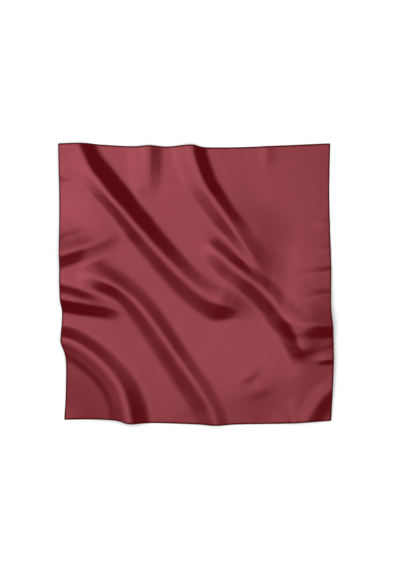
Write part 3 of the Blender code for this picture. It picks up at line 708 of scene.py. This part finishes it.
def toned_colour(tree, colour, tone):
    """The colour times the tone, which is a socket."""
    paint = tree.nodes.new("ShaderNodeVectorMath")
    paint.operation = "SCALE"
    paint.inputs[0].default_value = colour[:3]
    tree.links.new(tone, paint.inputs["Scale"])
    return paint.outputs[0]


def satin_weave_group():
    """Satin weave: threads, slanting floats, slubs, faint long streaks and soft marks of handling.

    The threads are the sine of 2 pi times v over the pitch. The floats are the sine of 2 pi times
    FLOAT_WAVES times the sum of u and v over the pitch. Tone is about 1, Gloss about 0, and Height
    is in metres.
    """
    group, entry, leave = new_group(
        "satin weave",
        {"Vector": None, "Thread pitch": 0.0004, "Float height": 0.00001, "Slub": 1.0,
         "Ripple": 1.0},
        ("Tone", "Gloss", "Height"),
    )
    vector, pitch = entry.outputs["Vector"], entry.outputs["Thread pitch"]
    split = group.nodes.new("ShaderNodeSeparateXYZ")
    group.links.new(vector, split.inputs[0])
    phase = math_node(group, "DIVIDE", split.outputs["Y"], pitch)
    shift = math_node(group, "DIVIDE", split.outputs["X"], pitch)
    shift = math_node(group, "MULTIPLY", shift, FLOAT_WAVES)
    threads = math_node(group, "SINE", math_node(group, "MULTIPLY", phase, math.tau))
    floats = math_node(group, "MULTIPLY", phase, FLOAT_WAVES * math.tau)
    floats = math_node(group, "SINE", weighted_sum(group, floats, (shift, math.tau)))
    weave = weighted_sum(group, threads, (floats, FLOAT_SHARE))
    slub, cross, streak, handling = (
        noise_node(group, vector, pattern) for pattern in (SLUBS, CROSS_LINES, STREAKS, HANDLING))
    slub = weighted_sum(group, slub, (cross, CROSS_SHARE))
    slub = math_node(group, "MULTIPLY", slub, entry.outputs["Slub"])
    streak = math_node(group, "MULTIPLY", streak, entry.outputs["Slub"])
    ripple = math_node(group, "MULTIPLY", handling, entry.outputs["Ripple"])
    tone = weighted_sum(group, 1.0, (slub, SLUB_TONE), (streak, STREAK_TONE), (weave, WEAVE_TONE))
    gloss = weighted_sum(group, 0.0, (slub, SLUB_GLOSS), (handling, HANDLING_GLOSS),
                         (streak, STREAK_GLOSS))
    high = weighted_sum(group, 0.0, (weave, entry.outputs["Float height"]), (slub, SLUB_HEIGHT),
                        (ripple, HANDLING_HEIGHT))
    for label, result in (("Tone", tone), ("Gloss", gloss), ("Height", high)):
        group.links.new(result, leave.inputs[label])
    return group


def shared_group(name, builder):
    """A node group, made once and then found again by its name."""
    return bpy.data.node_groups.get(name) or builder()


def new_material(name):
    """A material with its node tree and its shader."""
    material = bpy.data.materials.new(name)
    material.use_nodes = True
    tree = material.node_tree
    return material, tree, tree.nodes["Principled BSDF"]


def satin_material(name, colour, roughness, reflection, refraction, pitch, slub, ripple):
    """Satin: a deep dye under a coloured gloss. Its weave comes from the piece's own UV map."""
    material, tree, shader = new_material(name)
    place = tree.nodes.new("ShaderNodeTexCoord")
    weave = tree.nodes.new("ShaderNodeGroup")
    weave.node_tree = shared_group("satin weave", satin_weave_group)
    for label, value in (("Thread pitch", pitch), ("Slub", slub), ("Ripple", ripple)):
        weave.inputs[label].default_value = value
    tree.links.new(place.outputs["UV"], weave.inputs["Vector"])
    dye = toned_colour(tree, colour, weave.outputs["Tone"])
    tree.links.new(dye, shader.inputs["Base Color"])
    rough = math_node(tree, "ADD", roughness, weave.outputs["Gloss"])
    tree.links.new(rough, shader.inputs["Roughness"])
    bump = tree.nodes.new("ShaderNodeBump")
    bump.inputs["Distance"].default_value = 1.0
    tree.links.new(weave.outputs["Height"], bump.inputs["Height"])
    tree.links.new(bump.outputs["Normal"], shader.inputs["Normal"])
    shader.inputs["Metallic"].default_value = 0.0
    shader.inputs["IOR"].default_value = refraction
    shader.inputs["Specular Tint"].default_value = reflection
    return material


def floor_material(colour):
    """A matt pale board with a faint unevenness."""
    material, tree, shader = new_material("pale floor")
    place = tree.nodes.new("ShaderNodeTexCoord")
    spots = noise_node(tree, place.outputs["Object"], FLOOR_SPOTS)
    tone = weighted_sum(tree, 1.0, (spots, FLOOR_TONE))
    tree.links.new(toned_colour(tree, colour, tone), shader.inputs["Base Color"])
    shader.inputs["Roughness"].default_value = 0.9
    shader.inputs["Specular IOR Level"].default_value = 0.1
    return material


# ---- Sizes and colours that a user would change ----
class HEADSCARF_PG_cloth(bpy.types.PropertyGroup):
    """The panel's sizes and finish."""

    thickness: bpy.props.FloatProperty(
        name="Thickness", description="Thickness of the satin", default=0.0004, unit="LENGTH",
        precision=5)
    cut: bpy.props.FloatProperty(
        name="Cut", description="Side of the square that is cut", default=0.9, unit="LENGTH")
    colour: bpy.props.FloatVectorProperty(
        name="Dye", description="Colour of the cloth in its own shade", subtype="COLOR", size=4,
        default=(0.090, 0.0004, 0.0017, 1.0), min=0.0, max=1.0)
    reflection: bpy.props.FloatVectorProperty(
        name="Reflection", description="Colour of the satin's gloss", subtype="COLOR", size=4,
        default=(1.0, 0.262, 0.325, 1.0), min=0.0, max=1.0)
    roughness: bpy.props.FloatProperty(
        name="Roughness", description="Spread of the gloss", default=0.24, subtype="FACTOR",
        min=0.0, max=1.0)
    refraction: bpy.props.FloatProperty(
        name="Refraction", description="Index of refraction, which sets the gloss's strength",
        default=1.84)
    thread_pitch: bpy.props.FloatProperty(
        name="Thread pitch", description="From one thread to the next", default=0.0004,
        unit="LENGTH", precision=5)


class HEADSCARF_PG_hem(bpy.types.PropertyGroup):
    """The rolled hem's sizes and finish."""

    width: bpy.props.FloatProperty(
        name="Roll width", description="Width of the rolled edge, seen from above",
        default=0.0030, unit="LENGTH", precision=4)
    height: bpy.props.FloatProperty(
        name="Roll height", description="Height of the rolled edge", default=0.0026,
        unit="LENGTH", precision=4)
    # The roll's dye is darker than the panel's: partly the deeper tone of the rolled layers, and
    # partly painted shade of the roll's sides that slope away from the light.
    colour: bpy.props.FloatVectorProperty(
        name="Dye", description="Colour of the rolled cloth", subtype="COLOR", size=4,
        default=(0.055, 0.0030, 0.0055, 1.0), min=0.0, max=1.0)
    thread_colour: bpy.props.FloatVectorProperty(
        name="Thread", description="Colour of the sewing thread", subtype="COLOR", size=4,
        default=(0.10, 0.006, 0.010, 1.0), min=0.0, max=1.0)
    stitch_spacing: bpy.props.FloatProperty(
        name="Stitch spacing", description="From one slip stitch to the next", default=0.006,
        unit="LENGTH", precision=4)
    thread: bpy.props.FloatProperty(
        name="Thread thickness", description="Diameter of the sewing thread", default=0.00035,
        unit="LENGTH", precision=5)


class HEADSCARF_PG_stage(bpy.types.PropertyGroup):
    """Floor, lights and camera."""

    floor_colour: bpy.props.FloatVectorProperty(
        name="Floor", description="Colour of the floor", subtype="COLOR", size=4,
        default=(0.90, 0.90, 0.90, 1.0), min=0.0, max=1.0)
    key_power: bpy.props.FloatProperty(
        name="Key light", description="Power of the large softbox overhead", default=68.0,
        unit="POWER")
    side_power: bpy.props.FloatProperty(
        name="Side light", description="Power of the smaller softbox, up and to the left",
        default=54.0, unit="POWER")
    ambient: bpy.props.FloatProperty(
        name="Room light", description="Strength of the light from the pale room", default=0.70)
    camera_height: bpy.props.FloatProperty(
        name="Camera height", description="Height of the camera above the floor",
        default=4.3646, unit="LENGTH")
    lens: bpy.props.FloatProperty(
        name="Lens", description="Focal length in millimetres", default=85.0)


# ---- Operators ----
class HEADSCARF_OT_panel(bpy.types.Operator):
    """Make the satin panel, with all its folds and creases"""

    bl_idname = "headscarf.panel"
    bl_label = "Make Panel"

    def execute(self, context):
        cloth, hem = context.scene.headscarf_cloth, context.scene.headscarf_hem
        # The panel reaches into the middle of the roll, and lies at the middle of its height.
        x, y = np.moveaxis(panel_places(half_roll(hem)[0], PANEL_CELLS), -1, 0)
        under = cloth_height(x, y)
        slope = np.hypot(*np.gradient(under, x[0, 1] - x[0, 0]))
        over = under + cloth.thickness / CM * np.sqrt(1.0 + slope**2)
        lift = (hem.height - cloth.thickness) / 2.0 / CM
        index = np.arange(x.size).reshape(x.shape)
        rim = np.concatenate((index[0, :-1], index[:-1, -1], index[-1, :0:-1], index[:0:-1, 0]))
        following = np.roll(rim, -1)
        edge = np.stack((rim, following, following + x.size, rim + x.size), axis=-1)
        points = np.concatenate((np.dstack((x, y, under + lift)).reshape(-1, 3),
                                 np.dstack((x, y, over + lift)).reshape(-1, 3)))
        share = np.linspace(0.0, cloth.cut, PANEL_CELLS + 1)
        uv = np.tile(np.stack(np.meshgrid(share, share), axis=-1).reshape(-1, 2), (2, 1))
        groups = [grid_quads(index + x.size), grid_quads(index)[:, ::-1], edge]
        uvs = [uv[group] for group in groups]
        material = satin_material(
            "satin", colour=cloth.colour, roughness=cloth.roughness, reflection=cloth.reflection,
            refraction=cloth.refraction, pitch=cloth.thread_pitch, slub=1.0, ripple=1.0)
        piece = new_piece("scarf_cloth", finished(points), groups, uvs, material)
        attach(piece, BODY)
        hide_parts("scarf_panel")
        return {"FINISHED"}


class HEADSCARF_OT_hems(bpy.types.Operator):
    """Make the four rolled hems"""

    bl_idname = "headscarf.hems"
    bl_label = "Make Rolled Hems"

    def execute(self, context):
        cloth, hem = context.scene.headscarf_cloth, context.scene.headscarf_hem
        half_width, half_height = half_roll(hem)
        # The roll's darker dye is partly the deeper tone of its rolled layers and partly painted
        # shade of its sloping sides.
        material = satin_material(
            "rolled satin and painted shade", colour=hem.colour, roughness=0.42, reflection=cloth.reflection,
            refraction=1.6, pitch=cloth.thread_pitch, slub=1.4, ripple=0.0)
        for number, name in enumerate(SIDES):
            centres, outward = hem_path(name, hem)
            half = roll_thickness(length_along(centres), hem, number)[None]
            outwards = np.broadcast_to(outward, (1, *centres.shape))
            upwards = np.broadcast_to(UPWARD, (1, *centres.shape))
            points, faces, uvs = tubes(centres[None], outwards, upwards, half * half_width,
                                       half * half_height, HEM_CORNERS)
            # On these two sides outward crossed with upward points on along the roll.
            if name in ("top", "left"):
                faces = [group[:, ::-1] for group in faces]
                uvs = [group[:, ::-1] for group in uvs]
            uvs = [group * CM for group in uvs]
            piece = new_piece("rolled_hem_" + name, finished(points), faces, uvs, material)
            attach(piece, BODY)
            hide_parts("hem_" + name)
        return {"FINISHED"}


class HEADSCARF_OT_stitches(bpy.types.Operator):
    """Sew the rolls down with small slanting slip stitches"""

    bl_idname = "headscarf.stitches"
    bl_label = "Make Stitches"

    def execute(self, context):
        cloth, hem = context.scene.headscarf_cloth, context.scene.headscarf_hem
        material = satin_material(
            "sewing thread", colour=hem.thread_colour, roughness=0.45,
            reflection=cloth.reflection, refraction=1.6, pitch=0.0002, slub=0.5, ripple=0.0)
        sides = [stitch_tubes(name, hem) for name in SIDES]
        points = np.concatenate([side[0] for side in sides])
        starts = np.cumsum([0] + [len(side[0]) for side in sides])
        # Each side has two groups of faces: the tubes' walls and their ends.
        faces = [np.concatenate([side[1][k] + start for side, start in zip(sides, starts)])
                 for k in range(2)]
        uvs = [np.concatenate([side[2][k] * CM for side in sides]) for k in range(2)]
        piece = new_piece("hem_stitches", finished(points), faces, uvs, material)
        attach(piece, BODY)
        return {"FINISHED"}


class HEADSCARF_OT_stage(bpy.types.Operator):
    """Make the floor, the lights and the camera"""

    bl_idname = "headscarf.stage"
    bl_label = "Make Stage"

    def execute(self, context):
        stage = context.scene.headscarf_stage
        self.add_floor(stage.floor_colour)
        self.add_softbox(context, "key_softbox", KEY_SOFTBOX, stage.key_power)
        self.add_softbox(context, "side_softbox", SIDE_SOFTBOX, stage.side_power)
        self.add_room(context, stage.ambient)
        self.add_camera(context, stage)
        return {"FINISHED"}

    def add_floor(self, colour):
        """One large flat face."""
        corners = ((-1.0, -1.0), (1.0, -1.0), (1.0, 1.0), (-1.0, 1.0))
        flat = FLOOR_REACH * np.array(corners)
        points = np.column_stack((flat, np.full(len(flat), FLOOR_LEVEL)))
        quad = np.arange(len(flat))[None]
        floor = new_piece("floor", points, [quad], [flat[None]], floor_material(colour))

    def add_softbox(self, context, name, softbox, power):
        """A level area light that shines straight down and that the camera doesn't see."""
        light = bpy.data.lights.new(name, "AREA")
        light.shape = "RECTANGLE"
        light.size, light.size_y = softbox.width, softbox.depth
        light.energy = power
        lamp = bpy.data.objects.new(name, light)
        lamp.location = softbox.place
        lamp.visible_camera = False
        context.scene.collection.objects.link(lamp)

    def add_room(self, context, strength):
        """A pale room that lights the floor softly.

        In the satin's gloss only its lowest part shows: nothing above GLOSS_TOP, the height of a
        direction's end on a ball of radius 1, and rising evenly to LOW_GLOSS at the floor.
        """
        world = bpy.data.worlds.new("pale room")
        context.scene.world = world
        world.use_nodes = True
        world.cycles.sampling_method = "NONE"
        tree = world.node_tree
        background = tree.nodes["Background"]
        path = tree.nodes.new("ShaderNodeLightPath")
        direction = tree.nodes.new("ShaderNodeTexCoord").outputs["Generated"]
        split = tree.nodes.new("ShaderNodeSeparateXYZ")
        tree.links.new(direction, split.inputs[0])
        high = math_node(tree, "DIVIDE", split.outputs["Z"], GLOSS_TOP)
        low = math_node(tree, "MAXIMUM", math_node(tree, "SUBTRACT", 1.0, high), 0.0)
        hidden = math_node(tree, "SUBTRACT", 1.0, math_node(tree, "MULTIPLY", low, LOW_GLOSS))
        dimmed = math_node(tree, "MULTIPLY", path.outputs["Is Glossy Ray"], hidden)
        shown = math_node(tree, "SUBTRACT", 1.0, dimmed)
        amount = math_node(tree, "MULTIPLY", shown, strength)
        tree.links.new(amount, background.inputs["Strength"])
        background.inputs["Color"].default_value = (1.0, 1.0, 1.0, 1.0)

    def add_camera(self, context, stage):
        """A camera that looks straight down, with the scarf's top side up in the picture."""
        camera = bpy.data.cameras.new("camera")
        camera.lens = stage.lens
        camera.sensor_width = 36.0
        camera.clip_end = 100.0
        holder = bpy.data.objects.new("camera", camera)
        holder.location = (CAMERA_X, CAMERA_Y, stage.camera_height)
        context.scene.collection.objects.link(holder)
        context.scene.camera = holder
        context.scene.view_settings.view_transform = "Standard"


class HEADSCARF_PT_panel(bpy.types.Panel):
    """Sidebar panel with the sizes, the colours and a button for each piece"""

    bl_idname = "HEADSCARF_PT_panel"
    bl_label = "Headscarf"
    bl_space_type = "VIEW_3D"
    bl_region_type = "UI"
    bl_category = "Headscarf"

    def draw(self, context):
        for group, operators in (
            ("headscarf_cloth", (HEADSCARF_OT_panel,)),
            ("headscarf_hem", (HEADSCARF_OT_hems, HEADSCARF_OT_stitches)),
            ("headscarf_stage", (HEADSCARF_OT_stage,)),
        ):
            settings = getattr(context.scene, group)
            box = self.layout.box()
            for name in settings.__annotations__:
                box.prop(settings, name)
            for operator in operators:
                box.operator(operator.bl_idname)


SETTINGS = {
    "headscarf_cloth": HEADSCARF_PG_cloth,
    "headscarf_hem": HEADSCARF_PG_hem,
    "headscarf_stage": HEADSCARF_PG_stage,
}
CLASSES = (
    *SETTINGS.values(),
    HEADSCARF_OT_panel,
    HEADSCARF_OT_hems,
    HEADSCARF_OT_stitches,
    HEADSCARF_OT_stage,
    HEADSCARF_PT_panel,
)


def register():
    """Add the classes, and the settings on the scene."""
    for kind in CLASSES:
        bpy.utils.register_class(kind)
    for name, kind in SETTINGS.items():
        setattr(bpy.types.Scene, name, bpy.props.PointerProperty(type=kind))


def unregister():
    """Take the settings and the classes away again."""
    for name in SETTINGS:
        delattr(bpy.types.Scene, name)
    for kind in reversed(CLASSES):
        bpy.utils.unregister_class(kind)


def main():
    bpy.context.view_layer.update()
    register()
    bpy.ops.headscarf.panel()
    bpy.ops.headscarf.hems()
    bpy.ops.headscarf.stitches()
    bpy.ops.headscarf.stage()


if __name__ == "__main__":
    main()
